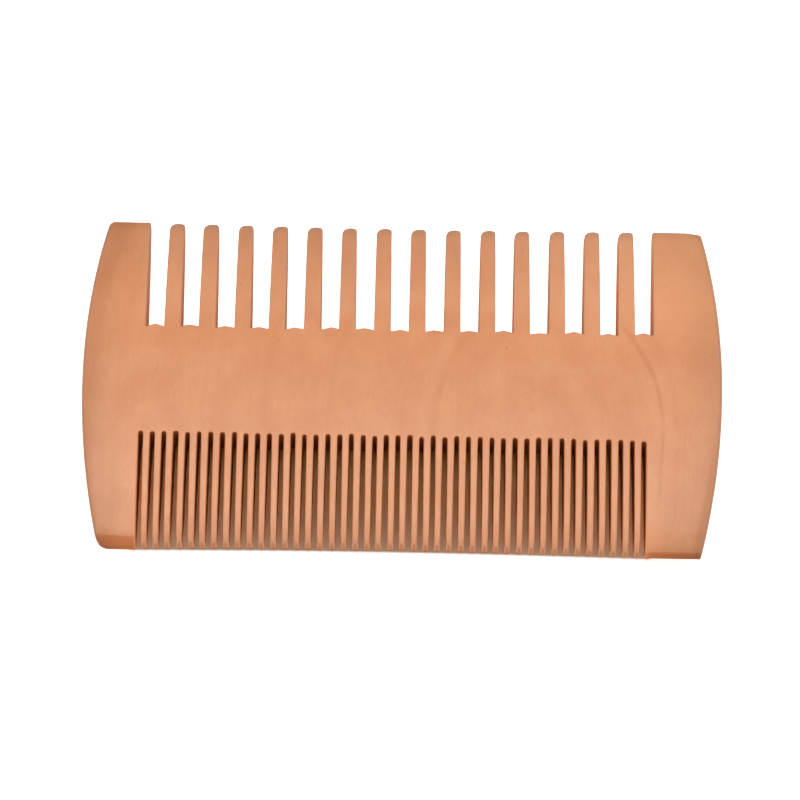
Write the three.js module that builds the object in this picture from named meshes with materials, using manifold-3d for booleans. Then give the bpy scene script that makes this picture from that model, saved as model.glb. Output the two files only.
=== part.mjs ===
// Double-sided wooden beard comb, sawn and shaped from one flat board.
// Millimetres. The comb lies flat on its back face: X runs along the spine, +Y points to the wide teeth,
// +Z is up through the thickness. The origin is under the middle of the comb, on the resting plane.
//
// The real comb is a single piece of wood. Here its spine, end guards and teeth are separate closed
// solids that meet face to face, so that every gap between two teeth stays open.
import * as THREE from 'three';
import { mergeVertices } from 'three/addons/utils/BufferGeometryUtils.js';
import Module from 'manifold-3d';

const wasm = await Module();
wasm.setup();

// ---- Driving dimensions ----

// Board: flat along the middle of both faces, thinning in a gentle bow towards both toothed edges.
const combLength = 99.5;
const combWidth = 53;
const flatStripWidth = 6;
const spineThickness = 8.8;
const tipChamfer = 0.4;

// Bowed ends
const endArcRadius = 115;
const endArcCentreY = 0.1;
const cornerRadius = { leftTop: 1.0, leftBottom: 2.1, rightTop: 0.5, rightBottom: 0.5 };

// Wide teeth, on the +Y edge
const coarse = {
  label: 'coarse_tooth',
  side: 1,
  teeth: 14,
  pitch: 5.455,
  centreX: -0.59,
  rootY: 8.3,
  rootWidth: 2.61,
  tipWidth: 2.36,
  tipRadius: 0.6,
  edgeThickness: 2.8,
  tipDip: 0.28,
  tipDipHalfSpan: 38,
};

// Narrow teeth, on the -Y edge
const fine = {
  label: 'fine_tooth',
  side: -1,
  teeth: 43,
  pitch: 1.811,
  centreX: -1.37,
  rootY: -8.9,
  rootWidth: 1.09,
  tipWidth: 0.92,
  tipRadius: 0.25,
  edgeThickness: 3.6,
  tipDip: 0.65,
  tipDipHalfSpan: 44,
};

const woodColour = 0xde996f;
const woodRoughness = 0.55;

const toothArcDivisions = 2;
const guardArcDivisions = 12;

// ---- Values that follow from them ----

const halfLength = combLength / 2;
const halfWidth = combWidth / 2;
const midHeight = spineThickness / 2;
const endArcCentreX = halfLength - endArcRadius;

// A row of n teeth has n + 1 gaps, one of them beside each end guard.
function rowEdges(row) {
  const gap = row.pitch - row.rootWidth;
  const halfSpan = (row.teeth * row.pitch + gap) / 2;
  return { left: row.centreX - halfSpan, right: row.centreX + halfSpan };
}

const coarseEdges = rowEdges(coarse);
const fineEdges = rowEdges(fine);

// ---- Solids ----

function solidOf(geometry) {
  geometry.deleteAttribute('normal');
  geometry.deleteAttribute('uv');
  const merged = mergeVertices(geometry);
  return new wasm.Manifold(new wasm.Mesh({
    numProp: 3,
    vertProperties: new Float32Array(merged.attributes.position.array),
    triVerts: new Uint32Array(merged.index.array),
  }));
}

function geometryOf(solid) {
  const mesh = solid.getMesh();
  const geometry = new THREE.BufferGeometry();
  geometry.setAttribute('position', new THREE.BufferAttribute(new Float32Array(mesh.vertProperties), 3));
  geometry.setIndex(new THREE.BufferAttribute(new Uint32Array(mesh.triVerts), 1));
  geometry.computeVertexNormals();
  return geometry;
}

// Half the board's thickness at a distance from the middle of the spine, on one toothed side.
function halfThickness(row, distance) {
  const flatHalf = flatStripWidth / 2;
  const share = (distance ** 2 - flatHalf ** 2) / (halfWidth ** 2 - flatHalf ** 2);
  return (spineThickness - (spineThickness - row.edgeThickness) * share) / 2;
}

// One side's profile from the flat strip out to the tips, as distances and half thicknesses.
function profileSteps(row) {
  const root = Math.abs(row.rootY);
  const steps = [flatStripWidth / 2, root, (root + halfWidth) / 2, halfWidth - tipChamfer]
    .map((distance) => [distance, halfThickness(row, distance)]);
  steps.push([halfWidth, halfThickness(row, halfWidth) - tipChamfer]);
  return steps;
}

// Side profile of the board, drawn in (y, z).
function sideProfile() {
  const acrossY = [
    ...profileSteps(fine).reverse().map(([distance, half]) => [-distance, half]),
    ...profileSteps(coarse),
  ];
  const back = acrossY.map(([y, half]) => new THREE.Vector2(y, midHeight - half));
  const front = acrossY.map(([y, half]) => new THREE.Vector2(y, midHeight + half));
  return new THREE.Shape([...back, ...front.reverse()]);
}

// The uncut board: the side profile swept along X.
function boardSolid() {
  const geometry = new THREE.ExtrudeGeometry(sideProfile(), { depth: combLength, bevelEnabled: false });
  const alongX = new THREE.Matrix4().makeBasis(
    new THREE.Vector3(0, 1, 0),
    new THREE.Vector3(0, 0, 1),
    new THREE.Vector3(1, 0, 0),
  );
  geometry.applyMatrix4(alongX);
  geometry.translate(-halfLength, 0, 0);
  return solidOf(geometry);
}

const board = boardSolid();

// The part of the board inside a plan outline, whose own origin stands at (x, y).
function sawnFromBoard(outline, x = 0, y = 0) {
  const geometry = new THREE.ExtrudeGeometry(new THREE.Shape(outline), {
    depth: 2 * spineThickness,
    bevelEnabled: false,
  });
  geometry.translate(x, y, midHeight - spineThickness);
  return board.intersect(solidOf(geometry));
}

// ---- Plan outlines, as lists of points ----

function mirrored(outline, signX, signY) {
  return outline.map((point) => new THREE.Vector2(signX * point.x, signY * point.y));
}

function rectangleOutline(left, right, bottom, top) {
  const corners = [[left, bottom], [right, bottom], [right, top], [left, top]];
  return corners.map(([x, y]) => new THREE.Vector2(x, y));
}

// A tooth standing on the origin and pointing along +Y, with two rounded corners at its tip.
function toothOutline(row, length) {
  const rootHalf = row.rootWidth / 2;
  const tipHalf = row.tipWidth / 2;
  const r = row.tipRadius;
  const path = new THREE.Path();
  path.moveTo(-rootHalf, 0);
  path.lineTo(rootHalf, 0);
  path.absarc(tipHalf - r, length - r, r, 0, Math.PI / 2, false);
  path.absarc(-tipHalf + r, length - r, r, Math.PI / 2, Math.PI, false);
  return path.getPoints(toothArcDivisions);
}

// The centre of a corner of radius r between the right-hand end arc and the straight edge at edgeY,
// and the angle at which it meets the end arc.
function cornerCentre(r, edgeY) {
  const y = edgeY - Math.sign(edgeY) * r;
  const rise = y - endArcCentreY;
  const run = Math.sqrt((endArcRadius - r) ** 2 - rise ** 2);
  return { x: endArcCentreX + run, y, angle: Math.atan2(rise, run) };
}

// The right-hand end guard. Its inner side is straight beside the wide teeth and the spine,
// and steps at the roots of the narrow teeth. Its outer side is bowed.
function guardOutline(innerCoarseX, innerFineX, topRadius, bottomRadius) {
  const top = cornerCentre(topRadius, halfWidth);
  const bottom = cornerCentre(bottomRadius, -halfWidth);
  const path = new THREE.Path();
  path.moveTo(innerCoarseX, halfWidth);
  path.lineTo(innerCoarseX, fine.rootY);
  path.lineTo(innerFineX, fine.rootY);
  path.lineTo(innerFineX, -halfWidth);
  path.absarc(bottom.x, bottom.y, bottomRadius, -Math.PI / 2, bottom.angle, false);
  path.absarc(endArcCentreX, endArcCentreY, endArcRadius, bottom.angle, top.angle, false);
  path.absarc(top.x, top.y, topRadius, top.angle, Math.PI / 2, false);
  return path.getPoints(guardArcDivisions);
}

// Each row of tips dips a little towards the middle of the comb: how far a tip at this place along it
// stands back from the edge of the board.
function tipSetback(row, x) {
  return row.tipDip * (1 - (x / row.tipDipHalfSpan) ** 2);
}

// ---- Nodes ----

// A named mesh whose geometry is kept about its own anchor point, and which is placed there.
function woodNode(name, solid, x, y) {
  const geometry = geometryOf(solid);
  geometry.translate(-x, -y, 0);
  const material = new THREE.MeshStandardMaterial({
    color: woodColour,
    roughness: woodRoughness,
    metalness: 0,
  });
  const mesh = new THREE.Mesh(geometry, material);
  mesh.name = name;
  mesh.position.set(x, y, 0);
  return mesh;
}

function toothRow(row) {
  const group = new THREE.Group();
  for (let number = 1; number <= row.teeth; number += 1) {
    const x = row.centreX + (number - (row.teeth + 1) / 2) * row.pitch;
    const length = halfWidth - Math.abs(row.rootY) - tipSetback(row, x);
    const outline = mirrored(toothOutline(row, length), 1, row.side);
    const name = `${row.label}_${String(number).padStart(2, '0')}`;
    group.add(woodNode(name, sawnFromBoard(outline, x, row.rootY), x, row.rootY));
  }
  return group;
}

const spineOutline = rectangleOutline(coarseEdges.left, coarseEdges.right, fine.rootY, coarse.rootY);

const rightGuardOutline = guardOutline(
  coarseEdges.right, fineEdges.right, cornerRadius.rightTop, cornerRadius.rightBottom,
);

const leftGuardOutline = mirrored(
  guardOutline(-coarseEdges.left, -fineEdges.left, cornerRadius.leftTop, cornerRadius.leftBottom), -1, 1,
);

const comb = new THREE.Group();
comb.name = 'beard_comb';
comb.add(woodNode('spine', sawnFromBoard(spineOutline), coarse.centreX, 0));
comb.add(woodNode('left_guard', sawnFromBoard(leftGuardOutline), coarseEdges.left, 0));
comb.add(woodNode('right_guard', sawnFromBoard(rightGuardOutline), coarseEdges.right, 0));
comb.add(toothRow(coarse));
comb.add(toothRow(fine));

export default comb;
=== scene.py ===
"""Double-sided wooden beard comb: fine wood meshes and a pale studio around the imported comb."""

import math
import random

import bpy
import numpy as np
from mathutils import Matrix, Vector, noise
from mathutils.geometry import delaunay_2d_cdt


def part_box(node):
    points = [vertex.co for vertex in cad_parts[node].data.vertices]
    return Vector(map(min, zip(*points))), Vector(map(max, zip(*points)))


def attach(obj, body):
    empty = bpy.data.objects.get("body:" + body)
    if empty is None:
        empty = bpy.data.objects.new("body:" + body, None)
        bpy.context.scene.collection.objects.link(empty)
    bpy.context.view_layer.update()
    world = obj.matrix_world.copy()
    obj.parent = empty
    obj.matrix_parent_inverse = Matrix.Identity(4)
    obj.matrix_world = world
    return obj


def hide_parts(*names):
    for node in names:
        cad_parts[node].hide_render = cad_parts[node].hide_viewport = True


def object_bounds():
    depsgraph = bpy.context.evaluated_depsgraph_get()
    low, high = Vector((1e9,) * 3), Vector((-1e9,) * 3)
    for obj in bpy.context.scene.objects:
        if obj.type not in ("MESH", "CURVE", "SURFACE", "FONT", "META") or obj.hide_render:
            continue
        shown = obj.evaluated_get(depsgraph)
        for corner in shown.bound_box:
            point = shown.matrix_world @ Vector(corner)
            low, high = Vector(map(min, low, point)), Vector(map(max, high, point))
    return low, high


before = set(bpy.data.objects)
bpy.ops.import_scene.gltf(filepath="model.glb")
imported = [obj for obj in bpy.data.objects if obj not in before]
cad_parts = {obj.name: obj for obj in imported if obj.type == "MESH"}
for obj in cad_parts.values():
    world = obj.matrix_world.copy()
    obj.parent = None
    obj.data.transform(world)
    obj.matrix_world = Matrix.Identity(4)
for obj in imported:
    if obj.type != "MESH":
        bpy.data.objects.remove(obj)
cad_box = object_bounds()

# Shapes are worked out in millimetres and written in metres.
MM = 0.001
rng = random.Random(7)

# ---- Sizes taken from the CAD nodes ----


def box_mm(node):
    low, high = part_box(node)
    return low / MM, high / MM


HALF_LENGTH = cad_box[1].x / MM
HALF_WIDTH = cad_box[1].y / MM
SPINE_THICKNESS = cad_box[1].z / MM
MID_Z = SPINE_THICKNESS / 2
SPINE_LOW, SPINE_HIGH = box_mm("spine")

# ---- Shapes that a box can't give ----

FLAT_HALF = 3.0              # half width of the flat strip along the middle of each face
END_ARC_RADIUS = 115.0
END_ARC_CENTRE_Y = 0.1
INNER_CORNER = 0.35          # rounding of a guard's corner beside its row of teeth

# The guards' outer corners, from the one at the start of a guard's outline to the one at its end
LEFT_CORNERS = (1.0, 2.1)
RIGHT_CORNERS = (0.5, 0.5)
RIGHT_SHORT = 0.12           # how far the right guard stops inside the edge of the narrow tips
RIGHT_FALL = 0.3             # how far its wide-tooth edge falls away towards the bowed end
FALL_LENGTH = 2.0

# Rounded edges, as how far they reach in over the face and down the wall
EDGE_ROLL = 0.20             # both ways, along the teeth
GUARD_ROLL = (0.45, 0.40)
GUARD_WALL_ROLL = (0.28, 0.28)
RIGHT_BOTTOM_ROLL = (0.45, 0.95)
TIP_ROLL_START = 2.0         # how far from its tip a tooth's edges start to round off more
TIP_ROLL_LENGTH = 1.5

# Hand finishing of the faces
RIPPLE = 0.035               # depth of the faces' slight unevenness
RIPPLE_X, RIPPLE_Y = 9, 13   # length and width of its waves
END_FALL = 0.22              # how steeply the faces fall away beside the bowed ends
END_BAND = 0.9               # width of that band
END_BAND_GROWTH = 0.9        # how much wider it gets at the right, towards the narrow teeth
END_BAND_START_Y = 2
END_BAND_LENGTH = 20
RIGHT_FALL_SHARE = 0.5       # how much of the narrow tips' fall the right guard has beside them

# Saw marks in the bottoms of the wide gaps: a ridge on a broad hump, as shares of the row's hump height
RIDGE_SHARES = (0.2, 0.7)
HUMP_SHARES = (0.1, 0.5)
RIDGE_POWER = 1.4
CREST_STRAY = 0.16           # how far their crest strays from the middle, as a share of half the gap
GAP_TILT = 0.06              # how far each side of a bottom may stand above or below its middle
LEAST_FLAT = 0.02            # least half width that a gap's fillets leave between them

# The saw's wobble down the side of a tooth: length of its waves, and steps through the noise that keep
# one tooth and one row from repeating another
WOBBLE_LENGTH = 2.2
WOBBLE_TOOTH_STEP = 3.7
WOBBLE_ROW_STEP = 9
TIP_KERF = 0.5               # how far a tooth's tip was left as the saw made it

# Mesh density
ROLL_STEPS = 4               # rows over each rounded edge
WALL_STEPS = 3               # rows over each flat side wall
STATION_CROWDING = 0.35      # how much closer a tooth's rows stand towards its tip
TIP_CORNER_STEPS = 6
FILLET_STEPS = 4             # round each corner of a gap's bottom
GUARD_WALL_STEPS = 24        # along a guard's side beside the teeth
INNER_CORNER_STEPS = 5
GUARD_START_STEPS = 12       # along the edges of a guard, first and last
GUARD_END_STEPS = 10
OUTER_CORNER_STEPS = 8
BOWED_END_STEPS = 64
FALL_STEPS = 4
CUT_STEPS = 22               # along the cut between a guard and the spine
FACE_SPACING = 0.8           # between mesh points over the spine and the end guards
CLEARANCE = 0.55             # the least room round such a point, as a share of that spacing
JOIN_DISTANCE = 1e-3         # samples closer than this are one
MERGE_DISTANCE = 1e-5
FILL_INSIDE = 1              # the triangulation's mode that keeps to the outline


class Row:
    """One row of teeth. u runs along it the way the outline is followed, v runs out to the tips."""

    def __init__(self, label, side, root, edge_thickness, **shape):
        self.side = side
        self.root = root
        self.edge_thickness = edge_thickness
        self.__dict__.update(shape)
        names = sorted(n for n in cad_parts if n.startswith(label))
        self.names = names if side < 0 else names[::-1]
        boxes = [box_mm(n) for n in self.names]
        self.centres = [-side * (low.x + high.x) / 2 for low, high in boxes]
        self.tips = [side * (high.y if side > 0 else low.y) for low, high in boxes]
        self.width = boxes[0][1].x - boxes[0][0].x
        self.pitch = (self.centres[-1] - self.centres[0]) / (len(names) - 1)
        self.first_edge = self.centres[0] - self.pitch + self.width / 2
        self.last_edge = self.centres[-1] + self.pitch - self.width / 2


# taper is what each side loses from root to tip. tip_radii are the tip's corners in plan and dome is the
# slope of its crown in degrees. The falls are how far the face drops at the tips, and over what length,
# on the front and on the back. corner, undercut, hump and root_roll shape the bottoms of the gaps. The
# last row of each is how far one tooth or gap may differ from the next. seam is how far from its root a
# tooth's own piece starts.
COARSE = Row(
    "coarse_tooth", 1, SPINE_HIGH.y, 2.8,
    taper=0.125, stations=28, across=4, tip_radii=(1.1, 0.50), dome=14.0, tip_roll=(0.40, 0.50),
    tip_fall=(0.25, 2.2), back_fall=(0.40, 2.2),
    seam=0.6, corner=0.12, bottom_steps=12, undercut=0.05, hump=0.38, root_roll=0.24,
    shift=0.05, swell=0.03, lean=0.05, tip_jitter=0.05, root_jitter=0.10, wobble=0.02,
)
FINE = Row(
    "fine_tooth", -1, -SPINE_LOW.y, 3.6,
    taper=0.085, stations=28, across=2, tip_radii=(0.40, 0.40), dome=20.0, tip_roll=(0.32, 0.75),
    tip_fall=(0.85, 5.0), back_fall=(0.30, 1.2),
    seam=0.6, corner=0.28, bottom_steps=3, undercut=0.0, hump=0.0, root_roll=0.14,
    shift=0.05, swell=0.02, lean=0.04, tip_jitter=0.04, root_jitter=0.15, wobble=0.018,
)

# Inside the narrow slots beside the end guards
SLOT_INSET = 0.3
LEFT_SLOT_X = FINE.first_edge + SLOT_INSET
RIGHT_SLOT_X = FINE.last_edge - SLOT_INSET

# The facet across the left guard's end, beside the narrow teeth
FACET_TOP = 1.35 - HALF_WIDTH
FACET_TILT = 0.045
FACET_SLOPE = 1.15
FACET_SOFTNESS = 0.06
CREASE_OFFSETS = (0.12, -0.10)   # mesh lines on both sides of its upper edge
CREASE_SPACING = 0.45
CREASE_FROM_END = 4.4
CREASE_FROM_SLOT = 0.4


def clamped(value):
    return min(max(value, 0), 1)


def half_thickness(y):
    """Half the board's thickness: flat in the middle, bowed down towards both toothed edges."""
    edge = COARSE.edge_thickness if y > 0 else FINE.edge_thickness
    beyond = max(y * y - FLAT_HALF**2, 0.0) / (HALF_WIDTH**2 - FLAT_HALF**2)
    return (SPINE_THICKNESS - (SPINE_THICKNESS - edge) * beyond) / 2


def ramp(distance, softness):
    """Zero below zero and rising one for one above it, with a soft knee."""
    return (distance + math.sqrt(distance * distance + softness * softness)) / 2


def facet_top(x):
    """Height in y of the facet's upper edge, which isn't quite square to the comb."""
    return FACET_TOP - FACET_TILT * (x - (LEFT_SLOT_X - HALF_LENGTH) / 2)


def worn_away(x, y, front):
    """How far hand finishing takes a face below the plain bowed surface."""
    ripple_layer = 4 if front else 11
    depth = RIPPLE * (0.5 + 0.5 * noise.noise(Vector((x / RIPPLE_X, y / RIPPLE_Y, ripple_layer))))
    if y > 0 or x > LEFT_SLOT_X:
        row = COARSE if y > 0 else FINE
        fall, length = row.tip_fall if front else row.back_fall
        if y < 0 and x > RIGHT_SLOT_X:
            fall *= RIGHT_FALL_SHARE
        depth += fall * max((abs(y) - HALF_WIDTH) / length + 1, 0) ** 2
    across = END_ARC_RADIUS - math.hypot(abs(x) + END_ARC_RADIUS - HALF_LENGTH, y - END_ARC_CENTRE_Y)
    band = END_BAND
    if front and x > 0:
        band += END_BAND_GROWTH * clamped((END_BAND_START_Y - y) / END_BAND_LENGTH)
    depth += END_FALL * band * max(1 - across / band, 0) ** 2
    if front and x < LEFT_SLOT_X:
        depth += FACET_SLOPE * ramp(facet_top(x) - y, FACET_SOFTNESS)
    return depth


def lift(x, y, front):
    """Height of a face above, or below, the board's middle plane."""
    return half_thickness(y) - worn_away(x, y, front)


# ---- The outline in plan, as samples ----


class Sample:
    """A point of the outline, which becomes one column of the side wall, swept through the thickness.

    roll is the size of the rounded edge there, into is the direction into the wood, and kerf says how far
    the wall was left as the saw made it.
    """

    def __init__(self, x, y, roll=(EDGE_ROLL, EDGE_ROLL), kerf=0.0, into=None):
        self.x, self.y = x, y
        self.roll = roll
        self.kerf = kerf
        self.into = into
        self.column = None


def arc(centre, radius, start, end, steps, hollow=False, **look):
    """Samples on an arc, angles in degrees, both ends included. The wood is inside unless hollow."""
    way = 1 if hollow else -1
    made = []
    for i in range(steps + 1):
        a = math.radians(start + (end - start) * i / steps)
        c, s = math.cos(a), math.sin(a)
        made.append(Sample(centre[0] + radius * c, centre[1] + radius * s, into=(way * c, way * s), **look))
    return made


def line(start, end, steps, **look):
    """Samples on a straight line, both ends included, with the wood on its left."""
    (x0, y0), (x1, y1) = start, end
    size = math.hypot(x1 - x0, y1 - y0)
    into = (-(y1 - y0) / size, (x1 - x0) / size)
    shares = [i / steps for i in range(steps + 1)]
    return [Sample(x0 + (x1 - x0) * t, y0 + (y1 - y0) * t, into=into, **look) for t in shares]


def joined(*runs):
    """One chain from several, without repeating a point that two of them share."""
    chain = []
    for s in (s for run in runs for s in run):
        if not chain or math.hypot(chain[-1].x - s.x, chain[-1].y - s.y) > JOIN_DISTANCE:
            chain.append(s)
    return chain


def turned(chain, sign_x, sign_y):
    """The chain with its x, its y or both reversed."""
    for s in chain:
        s.x, s.y = sign_x * s.x, sign_y * s.y
        s.into = (sign_x * s.into[0], sign_y * s.into[1])
    return chain


class Tooth:
    """One tooth in its row's (u, v), with its own small hand-sawn differences."""

    def __init__(self, row, number):
        self.row, self.number = row, number
        self.name = row.names[number]
        self.centre = row.centres[number] + rng.uniform(-1, 1) * row.shift
        self.half = row.width / 2 + rng.uniform(-1, 1) * row.swell
        self.lean = rng.uniform(-1, 1) * row.lean
        self.tip = row.tips[number] - abs(rng.gauss(0, 0.5)) * row.tip_jitter
        self.seam = row.root + row.seam
        self.dome = math.radians(row.dome)
        flat = 2 * (self.half - row.taper) - sum(row.tip_radii) * (1 - math.sin(self.dome))
        self.crown_height = flat / 4 * math.tan(self.dome)
        self.left, self.right = self.side_samples(-1), self.side_samples(1)
        self.crown = self.crown_samples()
        for chain in (self.left, self.right, self.crown):
            turned(chain, -row.side, row.side)

    def side(self, hand, v):
        """u of the tooth's left (-1) or right (1) side at v."""
        t = (v - self.seam) / (self.tip - self.seam)
        place = (self.number * WOBBLE_TOOTH_STEP + hand, v / WOBBLE_LENGTH, self.row.side * WOBBLE_ROW_STEP)
        saw = noise.noise(Vector(place))
        half = self.half - self.row.taper * t
        return self.centre + self.lean * t + hand * half + saw * self.row.wobble

    def side_samples(self, hand):
        """From the seam up one side and round the tip's corner."""
        row = self.row
        radius = row.tip_radii[0 if hand * row.side > 0 else 1]
        shoulder = self.tip - self.crown_height - radius * math.cos(self.dome)
        chain = []
        for i in range(row.stations + 1):
            t = i / row.stations
            v = self.seam + (shoulder - self.seam) * (t + STATION_CROWDING * t * (1 - t))
            near_tip = clamped((v - self.tip + TIP_ROLL_START) / TIP_ROLL_LENGTH)
            roll = tuple(EDGE_ROLL + (r - EDGE_ROLL) * near_tip for r in row.tip_roll)
            chain.append(Sample(self.side(hand, v), v, roll, 1.0, (-hand, 0.0)))
        edge = self.side(hand, shoulder)
        for i in range(1, TIP_CORNER_STEPS + 1):
            a = (math.pi / 2 - self.dome) * i / TIP_CORNER_STEPS
            c, s = math.cos(a), math.sin(a)
            u, v = edge - hand * radius * (1 - c), shoulder + radius * s
            chain.append(Sample(u, v, row.tip_roll, TIP_KERF, (-hand * c, -s)))
        return chain

    def crown_samples(self):
        """Between the two tip corners, slightly domed."""
        left, right = self.left[-1], self.right[-1]
        made = []
        for i in range(1, self.row.across):
            t = i / self.row.across
            u = left.x + (right.x - left.x) * t
            v = left.y + self.crown_height * 4 * t * (1 - t)
            slope = math.tan(self.dome) * (1 - 2 * t)
            size = math.hypot(slope, 1)
            made.append(Sample(u, v, self.row.tip_roll, TIP_KERF, (slope / size, -1 / size)))
        return made


def gap_samples(row, left, right):
    """Round the sawn bottom of the gap between two walls, with its corner fillets."""
    bottom = row.root - row.undercut + rng.uniform(-1, 1) * row.root_jitter
    ridge = row.hump * rng.uniform(*RIDGE_SHARES)
    hump = row.hump * rng.uniform(*HUMP_SHARES)
    stray = rng.uniform(-CREST_STRAY, CREST_STRAY)
    tilt = rng.uniform(-GAP_TILT, GAP_TILT) * (1 if row.hump else 0)
    r = min(row.corner, (right - left) / 2 - LEAST_FLAT)
    look = {"kerf": 1.0, "roll": (row.root_roll, row.root_roll)}
    low_left, low_right = bottom - tilt, bottom + tilt
    start = arc((left + r, low_left + r), r, 180, 270, FILLET_STEPS, hollow=True, **look)
    end = arc((right - r, low_right + r), r, 270, 360, FILLET_STEPS, hollow=True, **look)
    middle = []
    for i in range(1, row.bottom_steps):
        t = i / row.bottom_steps
        reach = 1 + abs(stray) if t <= 0.5 + stray / 2 else 1 - abs(stray)
        from_crest = min(abs(2 * t - 1 - stray) / reach, 1.0)
        v = low_left + (low_right - low_left) * t
        v = v + ridge * (1 - from_crest) ** RIDGE_POWER + hump * (1 - from_crest * from_crest)
        middle.append(Sample(left + r + (right - left - 2 * r) * t, v, **look))
    chain = start + middle + end
    for a, s, b in zip(chain, chain[1:], chain[2:]):
        if s.into is None:
            size = math.hypot(b.x - a.x, b.y - a.y)
            s.into = ((b.y - a.y) / size, -(b.x - a.x) / size)
    return turned(chain, -row.side, row.side)


def corner_centre(radius, edge_y, arc_y):
    """Centre of a corner between the end arc and an edge, and the arc's angle where they meet."""
    y = edge_y - math.copysign(radius, edge_y)
    rise = y - arc_y
    run = math.sqrt((END_ARC_RADIUS - radius) ** 2 - rise**2)
    return (HALF_LENGTH - END_ARC_RADIUS + run, y), math.degrees(math.atan2(rise, run))


def guard_samples(turn, first, second, radii, short=0.0, fall=0.0, start_roll=GUARD_ROLL):
    """Round an end guard, from one row's wall to the other's, turned half round for the left end."""
    inner_a, inner_b = first.last_edge, -second.first_edge
    arc_y = turn * END_ARC_CENTRE_Y
    top = HALF_WIDTH - fall
    low = short - HALF_WIDTH
    a, angle_a = corner_centre(radii[0], low, arc_y)
    b, angle_b = corner_centre(radii[1], top, arc_y)
    c = INNER_CORNER
    wall = {"kerf": 1.0, "roll": GUARD_WALL_ROLL}
    end = {"roll": GUARD_ROLL}
    bend = (b[0] - FALL_LENGTH, HALF_WIDTH)
    bow = (HALF_LENGTH - END_ARC_RADIUS, arc_y)
    chain = joined(
        line((inner_a, -first.root - first.seam), (inner_a, c + low), GUARD_WALL_STEPS, **wall),
        arc((inner_a + c, c + low), c, 180, 270, INNER_CORNER_STEPS, **wall),
        line((inner_a + c, low), (a[0], low), GUARD_START_STEPS, roll=start_roll),
        arc(a, radii[0], -90, angle_a, OUTER_CORNER_STEPS, **end),
        arc(bow, END_ARC_RADIUS, angle_a, angle_b, BOWED_END_STEPS, **end),
        arc(b, radii[1], angle_b, 90, OUTER_CORNER_STEPS, **end),
        line((b[0], top), bend, FALL_STEPS, **end),
        line(bend, (inner_b + c, HALF_WIDTH), GUARD_END_STEPS, **end),
        arc((inner_b + c, HALF_WIDTH - c), c, 90, 180, INNER_CORNER_STEPS, **wall),
        line((inner_b, HALF_WIDTH - c), (inner_b, second.root + second.seam), GUARD_WALL_STEPS, **wall),
    )
    return turned(chain, turn, turn)


# ---- Building the surface ----


class Surface:
    """Points shared by the whole comb, and the faces and end caps of each named piece."""

    def __init__(self):
        self.points, self.edge, self.kerf = [], [], []
        self.seen = {}
        self.faces, self.caps = {}, {}

    def point(self, x, y, z, edge=0.0, kerf=0.0):
        key = (round(x, 4), round(y, 4), round(z, 4))
        if key not in self.seen:
            self.seen[key] = len(self.points)
            self.points.append((x, y, z))
            self.edge.append(edge)
            self.kerf.append(kerf)
        return self.seen[key]

    def face_point(self, x, y, front):
        sign = 1 if front else -1
        return self.point(x, y, MID_Z + sign * lift(x, y, front))

    def rolled_edge(self, s, front):
        """From a face over its rounded edge to the wall, each with its share of edge and of kerf."""
        sign = 1 if front else -1
        made = []
        for i in range(ROLL_STEPS + 1):
            a = math.pi / 2 * i / ROLL_STEPS
            inset, down = s.roll[0] * (1 - math.sin(a)), s.roll[1] * (1 - math.cos(a))
            x, y = s.x + s.into[0] * inset, s.y + s.into[1] * inset
            z = MID_Z + sign * (lift(x, y, front) - down)
            made.append((x, y, z, math.sin(2 * a), s.kerf * i / ROLL_STEPS))
        return made

    def column(self, s):
        """The wall's points at a sample, from the front face over the rounded edges to the back."""
        if s.column is None:
            front, back = self.rolled_edge(s, True), self.rolled_edge(s, False)
            top, low = front[-1][2], back[-1][2]
            steps = [i / WALL_STEPS for i in range(1, WALL_STEPS)]
            wall = [(s.x, s.y, top + (low - top) * t, 0.0, s.kerf) for t in steps]
            s.column = [self.point(*p) for p in front + wall + back[::-1]]
        return s.column

    def face(self, piece, corners):
        corners = [c for i, c in enumerate(corners) if c != corners[i - 1]]
        if len(corners) > 2:
            self.faces.setdefault(piece, []).append(corners)

    def wall(self, piece, chain):
        for a, b in zip(chain, chain[1:]):
            ca, cb = self.column(a), self.column(b)
            for i in range(len(ca) - 1):
                self.face(piece, [ca[i], ca[i + 1], cb[i + 1], cb[i]])

    def rung(self, start, end, count, front):
        """Points across a face between two columns."""
        side = 0 if front else -1
        a, b = self.column(start)[side], self.column(end)[side]
        (x0, y0, _), (x1, y1, _) = self.points[a], self.points[b]
        shares = [i / count for i in range(1, count)]
        return [a] + [self.face_point(x0 + (x1 - x0) * t, y0 + (y1 - y0) * t, front) for t in shares] + [b]

    def section(self, start, end, count, before, after):
        """Closes two pieces against each other where a cut from start to end parts them."""
        front, back = (self.rung(start, end, count, side) for side in (True, False))
        cut = [self.column(start)[::-1], self.column(end)]
        for i in range(count):
            cut.append([front[i], front[i + 1], back[i + 1], back[i]])
        self.caps.setdefault(before, []).extend(cut)
        self.caps.setdefault(after, []).extend(c[::-1] for c in cut)
        return front, back


surface = Surface()


def build_tooth(tooth):
    """The tooth's walls and faces. Returns the points across its base, front and back."""
    across, name = tooth.row.across, tooth.name
    surface.wall(name, tooth.left + tooth.crown + tooth.right[::-1])
    top = [tooth.left[-1], *tooth.crown, tooth.right[-1]]
    for front in (True, False):
        side = 0 if front else -1
        rungs = [surface.rung(a, b, across, front) for a, b in zip(tooth.left, tooth.right)]
        rungs[-1] = [surface.column(s)[side] for s in top]
        for low, high in zip(rungs, rungs[1:]):
            for i in range(across):
                corners = [low[i], high[i], high[i + 1], low[i + 1]]
                surface.face(name, corners if front else corners[::-1])
    return surface.section(tooth.left[0], tooth.right[0], across, name, "spine")


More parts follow.
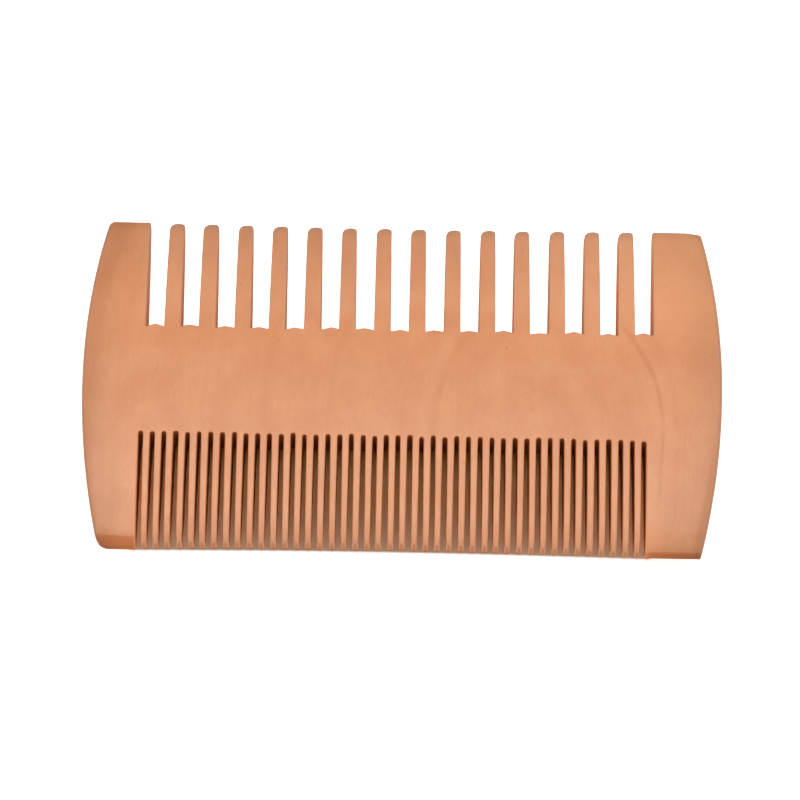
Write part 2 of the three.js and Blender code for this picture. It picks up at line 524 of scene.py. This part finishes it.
def gap_runs(row, teeth):
    """The samples of each gap of a row in turn, reaching down to its bottom on both sides."""
    starts = [row.first_edge] + [t.side(1, t.seam) for t in teeth]
    ends = [t.side(-1, t.seam) for t in teeth] + [row.last_edge]
    return [gap_samples(row, a, b) for a, b in zip(starts, ends)]


def inside(points, ring):
    """Which points lie inside a closed ring, by counting crossings."""
    x, y = points[:, :1], points[:, 1:]
    x0, y0 = ring.T
    x1, y1 = np.roll(ring, -1, 0).T
    rise = np.where(y1 == y0, 1, y1 - y0)
    crossed = ((y0 > y) != (y1 > y)) & (x < x0 + (y - y0) * (x1 - x0) / rise)
    return crossed.sum(1) % 2 == 1


def inner_points(ring, fixed):
    """An even spread of points inside a ring, clear of the points already there."""
    low, high = ring.min(0), ring.max(0)
    step_y = FACE_SPACING * math.sqrt(3) / 2
    grid = []
    for j, y in enumerate(np.arange(low[1], high[1], step_y)):
        shift = FACE_SPACING / 2 * (j % 2)
        grid += [(x, y) for x in np.arange(low[0] + shift, high[0], FACE_SPACING)]
    grid = np.array(grid)
    grid = grid[inside(grid, ring)]
    gaps = np.min(np.hypot(*(grid[:, None] - fixed[None]).transpose(2, 0, 1)), axis=1)
    return grid[gaps > CLEARANCE * FACE_SPACING]


def crease(front):
    """Close pairs of mesh lines that keep the top of the left guard's facet crisp."""
    if not front:
        return []
    xs = np.arange(-HALF_LENGTH + CREASE_FROM_END, FINE.first_edge - CREASE_FROM_SLOT, CREASE_SPACING)
    return [[surface.face_point(x, facet_top(x) + off, front) for x in xs] for off in CREASE_OFFSETS]


def seam(rungs):
    """Where a cut runs on one face, as heights in y and the places in x there."""
    places = sorted((surface.points[i][1], surface.points[i][0]) for i in rungs)
    return [y for y, _ in places], [x for _, x in places]


def fill_face(boundary, cuts, front):
    """Triangles over one face of the guards and the spine, which the first two cuts part."""
    ids = list(dict.fromkeys(boundary + [i for cut in cuts for i in cut]))
    ring = np.array([surface.points[i][:2] for i in boundary])
    fixed = np.array([surface.points[i][:2] for i in ids])
    local = {point: n for n, point in enumerate(ids)}
    ids += [surface.face_point(x, y, front) for x, y in inner_points(ring, fixed)]
    edges = [(local[a], local[b]) for a, b in zip(boundary, boundary[1:] + boundary[:1])]
    edges += [(local[a], local[b]) for cut in cuts for a, b in zip(cut, cut[1:])]
    places = [Vector(surface.points[i][:2]) for i in ids]
    filled = delaunay_2d_cdt(places, edges, [], FILL_INSIDE, MERGE_DISTANCE, True)
    verts, _, faces, origins, _, _ = filled
    points = [ids[o[0]] if o else surface.face_point(*v, front) for v, o in zip(verts, origins)]
    middles = np.array([sum((verts[i] for i in corners), Vector((0, 0))) / 3 for corners in faces])
    left_seam, right_seam = seam(cuts[0]), seam(cuts[1])
    for corners, (x, y), kept in zip(faces, middles, inside(middles, ring)):
        if kept:
            piece = "right_guard" if x > np.interp(y, *right_seam) else "spine"
            if x < np.interp(y, *left_seam):
                piece = "left_guard"
            named = [points[i] for i in corners]
            surface.face(piece, named if front else named[::-1])


def spine_walls(gaps, teeth, first, last):
    """The bottoms of a row's gaps, from a sample of its first gap to a sample of its last one."""
    for i, gap in enumerate(gaps):
        run = gap
        if i == 0:
            run = gap[first:]
        if i == len(teeth):
            run = gap[:last + 1]
        before = [teeth[i - 1].right[0]] if i > 0 else []
        after = [teeth[i].left[0]] if i < len(teeth) else []
        surface.wall("spine", before + run + after)


def build_core(fine_teeth, coarse_teeth, bases):
    """The spine and both end guards, inside one closed outline."""
    fine_gaps, coarse_gaps = gap_runs(FINE, fine_teeth), gap_runs(COARSE, coarse_teeth)
    left = guard_samples(-1, COARSE, FINE, LEFT_CORNERS)
    right = guard_samples(1, FINE, COARSE, RIGHT_CORNERS, RIGHT_SHORT, RIGHT_FALL, RIGHT_BOTTOM_ROLL)

    # Each guard meets the spine between the bottoms of the outermost gaps: half way along a narrow one,
    # and just past the fillet of a wide one.
    middle = len(fine_gaps[0]) // 2
    past_left = FILLET_STEPS + 2
    past_right = len(coarse_gaps[-1]) - 1 - past_left
    left_cut = (coarse_gaps[-1][past_right], fine_gaps[0][middle])
    right_cut = (coarse_gaps[0][past_left], fine_gaps[-1][middle])
    surface.wall("left_guard", coarse_gaps[-1][past_right:] + left + fine_gaps[0][:middle + 1])
    surface.wall("right_guard", fine_gaps[-1][middle:] + right + coarse_gaps[0][:past_left + 1])
    spine_walls(fine_gaps, fine_teeth, middle, middle)
    spine_walls(coarse_gaps, coarse_teeth, past_left, past_right)
    left_rungs = surface.section(*left_cut, CUT_STEPS, "left_guard", "spine")
    right_rungs = surface.section(*right_cut, CUT_STEPS, "spine", "right_guard")

    for front in (True, False):
        side, half = (0, 0) if front else (-1, 1)
        boundary = []
        for gaps, teeth, guard in ((fine_gaps, fine_teeth, right), (coarse_gaps, coarse_teeth, left)):
            for i, gap in enumerate(gaps):
                boundary += [surface.column(s)[side] for s in gap]
                if i < len(teeth):
                    boundary += bases[teeth[i].name][half]
            boundary += [surface.column(s)[side] for s in guard]
        cuts = [left_rungs[half], right_rungs[half]] + crease(front)
        fill_face(list(dict.fromkeys(boundary)), cuts, front)


fine_teeth = [Tooth(FINE, n) for n in range(len(FINE.names))]
coarse_teeth = [Tooth(COARSE, n) for n in range(len(COARSE.names))]
tooth_bases = {t.name: build_tooth(t) for t in fine_teeth + coarse_teeth}
build_core(fine_teeth, coarse_teeth, tooth_bases)


def point_normals():
    """Smooth normals of the whole comb, so that shading runs on from piece to piece."""
    places = np.array(surface.points)
    normals = np.zeros_like(places)
    for faces in surface.faces.values():
        for size in {len(f) for f in faces}:
            corners = np.array([f for f in faces if len(f) == size])
            a, b, c, d = (places[corners[:, i % size]] for i in (0, 1, 2, 3 if size > 3 else 0))
            area = np.cross(c - a, d - b) if size > 3 else np.cross(b - a, c - a)
            for i in range(size):
                np.add.at(normals, corners[:, i], area)
    return normals / np.maximum(np.linalg.norm(normals, axis=1, keepdims=True), 1e-12)


def build_piece(node, normals, material):
    """One named piece of the comb as its own closed mesh."""
    faces, caps = surface.faces[node], surface.caps.get(node, [])
    used = sorted({i for f in faces + caps for i in f})
    local = {point: n for n, point in enumerate(used)}
    mesh = bpy.data.meshes.new(f"wood_{node}")
    places = [Vector(surface.points[i]) * MM for i in used]
    mesh.from_pydata(places, [], [[local[i] for i in f] for f in faces + caps])
    for name, values in (("edge", surface.edge), ("kerf", surface.kerf)):
        layer = mesh.attributes.new(name, "FLOAT", "POINT")
        layer.data.foreach_set("value", [values[i] for i in used])
    mesh.polygons.foreach_set("use_smooth", [True] * len(mesh.polygons))
    mesh.update()
    split = []
    for polygon in mesh.polygons:
        flat = polygon.index >= len(faces)
        for i in polygon.vertices:
            split.append(polygon.normal if flat else Vector(normals[used[i]]))
    mesh.normals_split_custom_set(split)
    mesh.materials.append(material)
    piece = bpy.data.objects.new(f"wood_{node}", mesh)
    bpy.context.scene.collection.objects.link(piece)
    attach(piece, "root")
    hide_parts(node)


# ---- Materials ----


class Nodes:
    """Short calls for building a node tree that ends in one shader."""

    def __init__(self, tree, shader):
        self.tree = tree
        self.shader = tree.nodes[shader]

    def add(self, kind, inputs=(), **settings):
        node = self.tree.nodes.new(kind)
        for key, value in settings.items():
            setattr(node, key, value)
        for key, value in dict(inputs).items():
            self.put(node.inputs[key], value)
        return node

    def put(self, socket, value):
        if isinstance(value, bpy.types.NodeSocket):
            self.tree.links.new(value, socket)
        else:
            socket.default_value = value

    def math(self, operation, a, b=0.0, c=0.0):
        return self.add("ShaderNodeMath", {0: a, 1: b, 2: c}, operation=operation).outputs[0]

    def size(self, value):
        return self.math("ABSOLUTE", value)

    def product(self, first, *others):
        for other in others:
            first = self.math("MULTIPLY", first, other)
        return first

    def total(self, first, *others):
        for other in others:
            first = self.math("ADD", first, other)
        return first

    def axes(self, vector):
        """The x, y and z of a vector."""
        return tuple(self.add("ShaderNodeSeparateXYZ", {0: vector}).outputs)

    def vector(self, x, y=0.0, z=0.0):
        return self.add("ShaderNodeCombineXYZ", {0: x, 1: y, 2: z}).outputs[0]

    def stretched(self, place, scale):
        node = self.add("ShaderNodeVectorMath", {0: place, 1: scale}, operation="MULTIPLY")
        return node.outputs[0]

    def millimetres(self):
        """The place in the object's own frame."""
        return self.stretched(self.add("ShaderNodeTexCoord").outputs["Object"], (1 / MM,) * 3)

    def noise(self, place, scale, detail=2.0, roughness=0.5):
        """Cloudy noise, with scale as how many of its features fit in a millimetre along each axis."""
        stretched = self.stretched(place, scale)
        inputs = {"Vector": stretched, "Scale": 1.0, "Detail": detail, "Roughness": roughness}
        return self.add("ShaderNodeTexNoise", inputs).outputs["Fac"]

    def spread(self, value, low, high, to_low=0.0, to_high=1.0):
        """A soft change from to_low to to_high while the value goes from low to high."""
        ends = {"From Min": low, "From Max": high, "To Min": to_low, "To Max": to_high}
        inputs = {"Value": value, **ends}
        return self.add("ShaderNodeMapRange", inputs, interpolation_type="SMOOTHSTEP").outputs[0]

    def mix(self, factor, a, b, blend="MIX"):
        node = self.add("ShaderNodeMix", data_type="RGBA", blend_type=blend)
        for socket, value in zip((node.inputs[0], node.inputs[6], node.inputs[7]), (factor, a, b)):
            self.put(socket, value)
        return node.outputs[2]


def rgb(red, green, blue):
    """Linear colour from 8-bit sRGB values."""
    parts = [v / 255 for v in (red, green, blue)]
    return (*(p / 12.92 if p <= 0.04045 else ((p + 0.055) / 1.055) ** 2.4 for p in parts), 1.0)


# Growth rings stand in tall arches, one inside the other, numbered outwards from their axis. Ring 1 is
# this wide on each side of the axis, and reaches this far up and down from the arches' foot.
ARCH_X = 21.6
ARCH_FOOT_Y = -8.0
ARCH_HALF_WIDTH = 19.0
ARCH_UP, ARCH_DOWN = 24.0, 34.0
FOOT_BLEND = 2.0             # over which the one passes into the other, both ways
RING_WAVER = 0.10
RING_SLANT = 0.012           # rings passed for each millimetre of depth
FIBRE_WAVER = 4.0            # how far the same wavering bends the fibres, in millimetres

# Lines along single rings: the ring's number, the line's half width in rings and its strength
DARK_LINE = (1.0, 0.034, 0.36)
FAINT_LINE = (0.88, 0.04, 0.10)
PALE_BAND = (0.97, 0.08, 0.12)
OUTER_BAND = (3.72, 0.12, 0.22)

# Noise textures: features per millimetre along x, y and z (for the bands, per ring), levels of detail
# and roughness
WAVER_NOISE = ((0.07, 0.05, 0.07), 2.0)
BAND_NOISE = ((5.0, 1.0, 1.0), 3.0, 0.65)
CLOUD_NOISE = ((0.2, 0.16, 0.2), 3.0, 0.6)
FIBRE_NOISE = ((3.6, 0.6, 3.6), 4.0, 0.6)
PORE_NOISE = ((8.0, 1.1, 8.0), 1.0, 0.5)
SPECK_NOISE = ((2.2, 1.7, 2.2), 0.0)
PATCH_NOISE = ((0.35, 0.35, 0.35), 2.0)

# Layers of the grain: the texture that it follows, the values between which it grows, its full strength
# and its colour
WOOD_TONES = (rgb(192, 126, 85), rgb(199, 135, 93))
GRAIN_LAYERS = (
    ("bands", 0.45, 0.75, 0.22, rgb(176, 108, 70)),
    ("fibre", 0.40, 0.75, 0.16, rgb(178, 108, 72)),
    ("fibre", 0.42, 0.25, 0.14, rgb(216, 156, 118)),
    ("pores", 0.68, 0.80, 0.30, rgb(140, 82, 50)),
    ("specks", 0.885, 0.90, 0.60, rgb(120, 70, 45)),
)

ARCH_LINE_COLOUR = rgb(166, 94, 52)
ARCH_PALE_COLOUR = rgb(222, 164, 126)
OUTER_BAND_COLOUR = rgb(176, 104, 62)
LIGHT_CORNER_COLOUR = rgb(216, 154, 112)
# The next two are partly painted sheen on the narrow teeth
PALE_TEETH_SHEEN_COLOUR = rgb(222, 166, 130)
GREY_AND_SHEEN_COLOUR = rgb(204, 152, 126)
# End grain, partly painted shade
END_GRAIN_AND_SHADE_COLOUR = rgb(184, 104, 60)
TIP_GREY_COLOUR = rgb(176, 140, 116)
# Painted shade on the squarest ends
SQUARE_END_SHADE_COLOUR = rgb(130, 78, 48)
# Sawn wall colours, partly painted light. The slot roots' colour is painted light
NARROW_WALL_LIT_COLOUR = rgb(214, 136, 84)
WIDE_WALL_LIT_COLOUR = rgb(208, 154, 122)
SLOT_ROOT_LIGHT_COLOUR = rgb(250, 190, 120)
# Painted shade on the rounded edges, and along the rims of both ends
EDGE_SHADE_COLOUR = rgb(146, 112, 88)
RIM_SHADE_COLOUR = rgb(158, 102, 66)

# Where looks change over, in millimetres: across the spine, at the ends of the rows (as a distance from
# the middle of the narrow one), from there on outwards, and at the tips (as a distance from the middle)
OVER_SPINE = (-2.0, 2.0)
ROW_END = (39.0, 39.8)
OUTER_ROWS = (39.0, 45.0)
AT_TIPS = (24.2, 26.4)

# How much of a surface's direction is along y where end grain starts to show and where it's complete,
# and the same for the darkest end grain, on the squarest ends
END_GRAIN_FACING = (0.45, 0.80)
SQUARE_END_FACING = (0.86, 1.0)

BUMP_STRENGTH = 0.25
BUMP_DISTANCE = 0.00006
PORE_DEPTH = 0.35            # of the pores, as a share of the fibres' height
ROUGHNESS = (0.35, 0.45)
SAWN_ROUGHNESS = 0.2         # how much rougher sawn walls are
SHEEN = 0.34                 # on the faces. Sawn walls and end grain have none.


class Wood(Nodes):
    """The wood's node tree, with the places and textures that its layers of colour go by."""

    def __init__(self, tree):
        super().__init__(tree, "Principled BSDF")
        self.place = self.millimetres()
        self.x, self.y, self.z = self.axes(self.place)
        middle_x = (LEFT_SLOT_X + RIGHT_SLOT_X) / 2
        self.beside = self.size(self.math("SUBTRACT", self.x, middle_x))
        self.in_rows = self.spread(self.beside, *ROW_END, 1.0, 0.0)
        self.at_tips = self.spread(self.size(self.y), *AT_TIPS)
        normal = self.add("ShaderNodeNewGeometry").outputs["Normal"]
        self.facing = self.size(self.axes(normal)[1])
        self.end_grain = self.spread(self.facing, *END_GRAIN_FACING)
        self.kerf = self.add("ShaderNodeAttribute", attribute_name="kerf").outputs["Fac"]
        self.edge = self.add("ShaderNodeAttribute", attribute_name="edge").outputs["Fac"]
        self.add_textures()

    def add_textures(self):
        """The growth rings' numbers and bands, clouds, short fibres along the teeth, pores and specks."""
        waver = self.noise(self.place, *WAVER_NOISE)
        across = self.math("MULTIPLY_ADD", self.x, 1 / ARCH_HALF_WIDTH, -ARCH_X / ARCH_HALF_WIDTH)
        foot = (ARCH_FOOT_Y - FOOT_BLEND, ARCH_FOOT_Y + FOOT_BLEND)
        up_scale = self.spread(self.y, *foot, 1 / ARCH_DOWN, 1 / ARCH_UP)
        up = self.product(self.total(self.y, -ARCH_FOOT_Y), up_scale)
        squares = self.math("MULTIPLY_ADD", across, across, self.product(up, up))
        wavering = self.math("MULTIPLY_ADD", waver, RING_WAVER, -RING_WAVER / 2)
        ring = self.total(self.math("SQRT", squares), wavering)
        depth = self.math("SUBTRACT", self.z, SPINE_THICKNESS)
        self.ring = self.math("MULTIPLY_ADD", depth, RING_SLANT, ring)
        self.from_axis = across

        bent = self.vector(self.math("MULTIPLY_ADD", waver, FIBRE_WAVER, self.x), self.y, self.z)
        self.textures = {
            "bands": self.noise(self.vector(self.ring), *BAND_NOISE),
            "cloud": self.noise(bent, *CLOUD_NOISE),
            "fibre": self.noise(bent, *FIBRE_NOISE),
            "pores": self.noise(bent, *PORE_NOISE),
            "specks": self.noise(self.place, *SPECK_NOISE),
        }

    def grain(self):
        """The plain wood, before what is special to a place."""
        colour = self.mix(self.spread(self.textures["cloud"], 0.3, 0.7), *WOOD_TONES)
        for texture, low, high, strength, layer in GRAIN_LAYERS:
            colour = self.mix(self.spread(self.textures[texture], low, high, 0.0, strength), colour, layer)
        return colour

    def ring_line(self, number, half_width, strength):
        """A line that follows one growth ring."""
        away = self.size(self.math("SUBTRACT", self.ring, number))
        return self.spread(away, 0.0, half_width, strength, 0.0)

    def arches(self, colour):
        """One arch stands out: a dark line down its right limb, a pale band beside its left one."""
        right_limb = self.spread(self.from_axis, 0.2, 0.6)
        left_limb = self.spread(self.from_axis, -0.6, -0.2, 1.0, 0.0)
        below_top = self.spread(self.y, 8.5, 12.0, 1.0, 0.0)
        above_tips = self.spread(self.y, -22.0, -14.0)
        patchy = self.spread(self.noise(self.place, *PATCH_NOISE), 0.35, 0.6, 0.4, 1.0)
        dark_line = self.product(self.ring_line(*DARK_LINE), right_limb, below_top, above_tips, patchy)
        faint_line = self.product(self.ring_line(*FAINT_LINE), left_limb)
        pale_band = self.product(self.ring_line(*PALE_BAND), left_limb)
        colour = self.mix(self.total(dark_line, faint_line), colour, ARCH_LINE_COLOUR)
        colour = self.mix(pale_band, colour, ARCH_PALE_COLOUR)
        return self.mix(self.ring_line(*OUTER_BAND), colour, OUTER_BAND_COLOUR)

    def uneven(self, colour):
        """Lighter towards one corner, paler on the narrow teeth, which is partly painted sheen, and greyer on
        both rows, which towards the narrow tips is painted sheen.
        """
        to_right = self.spread(self.x, 10.0, 38.0, 0.0, 0.35)
        colour = self.mix(self.product(to_right, self.spread(self.y, 4.0, 14.0)), colour, LIGHT_CORNER_COLOUR)
        # Partly painted sheen: a paler tone over the narrow teeth
        on_narrow = self.spread(self.y, -9.8, -8.2, 0.06, 0.0)
        pale = self.product(on_narrow, self.spread(self.beside, *OUTER_ROWS, 1.0, 0.0))
        colour = self.mix(pale, colour, PALE_TEETH_SHEEN_COLOUR)
        # Greyer on both rows. Towards the narrow tips this is painted sheen
        on_wide = self.spread(self.y, 9.0, 13.0, 0.0, 0.12)
        greyed_and_sheen = self.total(on_wide, self.spread(self.y, -26.0, -17.0, 0.22, 0.0))
        return self.mix(self.product(greyed_and_sheen, self.in_rows), colour, GREY_AND_SHEEN_COLOUR)

    def ends(self, colour):
        """End grain is darker and redder than the faces, partly as real end grain and partly as painted shade
        on the surfaces that face along the teeth. Every tip is a little darker and greyer, and the squarest
        ends get more painted shade.
        """
        strength = self.spread(self.beside, *ROW_END, 0.42, 0.6)
        colour = self.mix(self.product(self.end_grain, strength), colour, END_GRAIN_AND_SHADE_COLOUR)
        # Every tip is mixed a little towards a darker grey
        colour = self.mix(self.product(self.at_tips, 0.4, self.in_rows), colour, TIP_GREY_COLOUR)
        square_end_shade = self.spread(self.facing, *SQUARE_END_FACING)
        return self.mix(self.product(square_end_shade, 0.32), colour, SQUARE_END_SHADE_COLOUR)

    def sawn_and_lit_walls(self, colour):
        """Sawn walls, paler than the faces, which is partly painted light: bright in the narrow slots, most
        of all at their bottoms, where it is painted light in deep shade, and duller in the wide gaps.
        """
        above_slots = self.spread(self.y, -4.0, -3.0, 1.0, 0.0)
        slot_root_light = self.product(self.spread(self.y, -9.5, -8.0), above_slots)
        lit_wall_colour = self.mix(self.spread(self.y, *OVER_SPINE), NARROW_WALL_LIT_COLOUR, WIDE_WALL_LIT_COLOUR)
        lit_wall_colour = self.mix(slot_root_light, lit_wall_colour, SLOT_ROOT_LIGHT_COLOUR)
        strength = self.math("MAXIMUM", self.spread(self.y, *OVER_SPINE, 0.5, 0.8), slot_root_light)
        return self.mix(self.product(self.kerf, strength), colour, lit_wall_colour)

    def shaded_edges(self, colour):
        """Painted shade on the rounded edges, heavier on the back than on the front, but not on the narrow
        teeth's, and painted shade along both ends' rims.
        """
        arc_x = self.total(self.size(self.x), END_ARC_RADIUS - HALF_LENGTH)
        arc_y = self.math("SUBTRACT", self.y, END_ARC_CENTRE_Y)
        reach = self.math("SQRT", self.math("MULTIPLY_ADD", arc_x, arc_x, self.product(arc_y, arc_y)))
        from_end = self.math("SUBTRACT", END_ARC_RADIUS, reach)
        at_end = self.spread(from_end, 0.8, 1.6, 1.0, 0.0)
        edge_shade_reach = self.math("MAXIMUM", self.spread(self.y, -12.0, -2.0), at_end)
        edge_shade = self.product(self.edge, self.spread(self.z, 3.0, 5.5, 0.75, 0.35), edge_shade_reach)
        colour = self.mix(edge_shade, colour, EDGE_SHADE_COLOUR)
        # Painted shade along the rounded rim of both ends, wider towards the lower right
        low_right = self.product(self.spread(self.y, -22.0, 0.0, 1.0, 0.0), self.spread(self.x, 0.0, 40.0))
        rim_width = self.math("MULTIPLY_ADD", low_right, 0.9, 0.5)
        rim_shade = self.spread(self.math("DIVIDE", from_end, rim_width), 0.7, 1.3, 0.28, 0.0)
        return self.mix(rim_shade, colour, RIM_SHADE_COLOUR)

    def painted_shade_to_edges(self, colour):
        """Painted shade: darker towards both rows of tips and towards both ends."""
        along = self.spread(self.x, -40.0, 45.0, 0.19, 0.13)
        to_wide_tips = self.product(self.spread(self.y, 12.0, 27.0), along)
        to_ends = self.spread(self.size(self.x), 42.0, 50.0, 0.0, 0.15)
        low_guards = self.product(
            self.spread(self.y, -27.0, -14.0, 0.12, 0.0), self.spread(self.beside, *OUTER_ROWS),
        )
        painted_darkening = self.total(to_wide_tips, to_ends, low_guards, self.product(self.at_tips, 0.12))
        bright = self.math("SUBTRACT", 1.0, painted_darkening)
        shade = self.add("ShaderNodeCombineColor", {0: bright, 1: bright, 2: bright}).outputs[0]
        return self.mix(1.0, colour, shade, "MULTIPLY")

    def add_finish(self):
        """A soft sheen over faint fibres and pores. Sawn walls and end grain have no sheen."""
        fibre = self.textures["fibre"]
        rougher = self.product(self.kerf, SAWN_ROUGHNESS)
        roughness = self.total(self.spread(fibre, 0.2, 0.8, *ROUGHNESS), rougher)
        height = self.math("MULTIPLY_ADD", self.textures["pores"], -PORE_DEPTH, fibre)
        relief = {"Strength": BUMP_STRENGTH, "Distance": BUMP_DISTANCE, "Height": height}
        bump = self.add("ShaderNodeBump", relief)
        dry = self.math("MAXIMUM", self.end_grain, self.kerf)
        self.put(self.shader.inputs["Roughness"], roughness)
        self.put(self.shader.inputs["Normal"], bump.outputs[0])
        self.put(self.shader.inputs["Specular IOR Level"], self.math("MULTIPLY_ADD", dry, -SHEEN, SHEEN))


def pear_wood():
    """Light, reddish tan wood with a close grain."""
    material = bpy.data.materials.new("pear_wood")
    material.use_nodes = True
    wood = Wood(material.node_tree)
    colour = wood.grain()
    for layer in (wood.arches, wood.uneven, wood.ends, wood.sawn_and_lit_walls, wood.shaded_edges, wood.painted_shade_to_edges):
        colour = layer(colour)
    wood.put(wood.shader.inputs["Base Color"], colour)
    wood.add_finish()
    return material


pear = pear_wood()
shared_normals = point_normals()
for node_name in list(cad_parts):
    build_piece(node_name, shared_normals, pear)

# ---- Studio ----

WHITE = (1, 1, 1, 1)

CAMERA_TILT = math.radians(17.4)       # from straight above, towards the narrow teeth
CAMERA_ROLL = math.radians(1.15)
CAMERA_DISTANCE = 0.615
CAMERA_LENS = 177.2
SENSOR_WIDTH = 36
TARGET = Vector((-0.31, -1.86, 4.5)) * MM

# Softboxes that face the comb: place and size in metres, and power in watts
SOFTBOXES = {
    "top_box": ((0.0, 0.0, 1.05), (0.34, 0.30), 4.2),
    "left_box": ((-0.70, 0.15, 0.85), (0.6, 0.6), 4.5),
    "right_box": ((0.70, 0.15, 0.85), (0.6, 0.6), 4.5),
}

FLOOR_SIZE = 4.0                       # half its width, in metres
FLOOR_COLOUR = (0.93, 0.93, 0.93, 1)
FLOOR_ROUGHNESS = 0.9
FLOOR_SHEEN = 0.1
FLOOR_GLOW = 0.7
GAP_GLOW = 0.95                        # under the wide gaps

# Painted brown shade on the floor under the narrow slots, with its colour at their roots and at their tips.
# Its soft limits are in millimetres: beyond the row at both ends, inside the comb's edge, and in y.
FLOOR_SHADE_COLOUR = (0.90, 0.47, 0.21, 1)
FLOOR_SHADE_ROOT = (0.62, 0.26, 0.07, 1)
FLOOR_SHADE_EDGE = (0.70, 0.47, 0.30, 1)
FLOOR_SHADE_BEYOND_ROW = (0.8, 2.0)
FLOOR_SHADE_INSIDE_EDGE = (0.91, 1.46)
FLOOR_SHADE_TOP = (-3.0, 3.0)
FLOOR_SHADE_TO_ROOT = (-14.0, -9.0)
FLOOR_SHADE_TO_EDGE = (-23.0, -16.0)
FLOOR_SHADE_BOW = 0.35                        # how far its lower limit bows and slants with the row of tips
FLOOR_SHADE_SKEW = 0.08
GAPS_EDGE = (-1.5, 1.0)                # limits of the brighter glow, on both sides of the comb's edge

# Strength of the world's light: at the horizon, and above it from the middle out to both sides
HORIZON_LIGHT = 1.05
HORIZON_BAND = (0.06, 0.16)
SKY_LOW = 0.25
SKY_SIDE = 0.5
SKY_SIDE_BAND = (0.12, 0.45)


def floor_material():
    """Pale and glowing a little, like a light table, and brighter under the wide gaps.

    Under the narrow slots, inside the comb's outline, it is warm brown and doesn't glow: painted shade,
    warm like light bounced off the wood. The slots are dark and brown from above because of that area.
    """
    material = bpy.data.materials.new("floor")
    material.use_nodes = True
    n = Nodes(material.node_tree, "Principled BSDF")
    x, y, _ = n.axes(n.millimetres())
    half_span = (RIGHT_SLOT_X - LEFT_SLOT_X) / 2
    along = n.math("SUBTRACT", x, (LEFT_SLOT_X + RIGHT_SLOT_X) / 2)
    in_span = n.spread(n.size(along), *(half_span + beyond for beyond in FLOOR_SHADE_BEYOND_ROW), 1.0, 0.0)

    share = n.product(along, 1 / half_span)
    bowed_y = n.math("MULTIPLY_ADD", n.product(share, share), FLOOR_SHADE_BOW, y)
    bowed_y = n.math("MULTIPLY_ADD", share, -FLOOR_SHADE_SKEW, bowed_y)
    above_tips = n.spread(bowed_y, *(within - HALF_WIDTH for within in FLOOR_SHADE_INSIDE_EDGE))
    # Painted shade: brown and without glow under the narrow slots
    painted_floor_shade = n.product(above_tips, n.spread(y, *FLOOR_SHADE_TOP, 1.0, 0.0), in_span)
    floor_shade_colour = n.mix(n.spread(y, *FLOOR_SHADE_TO_ROOT), FLOOR_SHADE_COLOUR, FLOOR_SHADE_ROOT)
    floor_shade_colour = n.mix(n.spread(y, *FLOOR_SHADE_TO_EDGE, 1.0, 0.0), floor_shade_colour, FLOOR_SHADE_EDGE)

    below_edge = n.spread(y, *(HALF_WIDTH + past for past in GAPS_EDGE), 1.0, 0.0)
    window = n.product(n.spread(y, *FLOOR_SHADE_TOP), below_edge, in_span)
    glow = n.math("MULTIPLY_ADD", painted_floor_shade, -FLOOR_GLOW, FLOOR_GLOW)
    glow = n.math("MULTIPLY_ADD", window, GAP_GLOW - FLOOR_GLOW, glow)

    looks = {
        "Base Color": n.mix(painted_floor_shade, FLOOR_COLOUR, floor_shade_colour),
        "Roughness": FLOOR_ROUGHNESS,
        "Specular IOR Level": FLOOR_SHEEN,
        "Emission Color": WHITE,
        "Emission Strength": glow,
    }
    for name, value in looks.items():
        n.put(n.shader.inputs[name], value)
    return material


def studio_floor():
    """The floor that the comb lies on, well past the picture on all sides."""
    size = FLOOR_SIZE
    corners = [(-size, -size, 0), (size, -size, 0), (size, size, 0), (-size, size, 0)]
    mesh = bpy.data.meshes.new("floor")
    mesh.from_pydata(corners, [], [(0, 1, 2, 3)])
    mesh.materials.append(floor_material())
    floor = bpy.data.objects.new("floor", mesh)
    bpy.context.scene.collection.objects.link(floor)


def softbox(name, place, size, power):
    """A rectangular light that faces the comb."""
    light = bpy.data.lights.new(name, "AREA")
    light.shape = "RECTANGLE"
    light.size, light.size_y = size
    light.energy = power
    holder = bpy.data.objects.new(name, light)
    holder.location = place
    holder.rotation_euler = (TARGET - Vector(place)).to_track_quat("-Z", "Y").to_euler()
    bpy.context.scene.collection.objects.link(holder)


def studio_camera():
    """A long lens above the comb, tilted towards the narrow teeth and turned a little."""
    camera = bpy.data.objects.new("camera", bpy.data.cameras.new("camera"))
    camera.data.lens = CAMERA_LENS
    camera.data.sensor_width = SENSOR_WIDTH
    away = Vector((0, -math.sin(CAMERA_TILT), math.cos(CAMERA_TILT)))
    up = Vector((0, math.cos(CAMERA_TILT), math.sin(CAMERA_TILT)))
    right = Vector((1, 0, 0))
    up_turned = up * math.cos(CAMERA_ROLL) - right * math.sin(CAMERA_ROLL)
    right_turned = up_turned.cross(away)
    turn = Matrix((right_turned, up_turned, away)).transposed()
    camera.matrix_world = Matrix.Translation(TARGET + away * CAMERA_DISTANCE) @ turn.to_4x4()
    bpy.context.scene.collection.objects.link(camera)
    bpy.context.scene.camera = camera


def studio_world():
    """Brightest at the horizon, and above it brighter to both sides than straight overhead."""
    world = bpy.data.worlds.new("studio")
    world.use_nodes = True
    n = Nodes(world.node_tree, "Background")
    x, _, z = n.axes(n.add("ShaderNodeTexCoord").outputs["Generated"])
    side = n.spread(n.size(x), *SKY_SIDE_BAND, SKY_LOW, SKY_SIDE)
    above = n.spread(z, *HORIZON_BAND)
    level = n.math("MULTIPLY_ADD", above, n.math("SUBTRACT", side, HORIZON_LIGHT), HORIZON_LIGHT)
    n.put(n.shader.inputs["Strength"], level)
    n.put(n.shader.inputs["Color"], WHITE)
    return world


studio_floor()
for box_name, (box_place, box_size, box_power) in SOFTBOXES.items():
    softbox(box_name, box_place, box_size, box_power)
studio_camera()
bpy.context.scene.world = studio_world()
bpy.context.scene.view_settings.view_transform = "Standard"
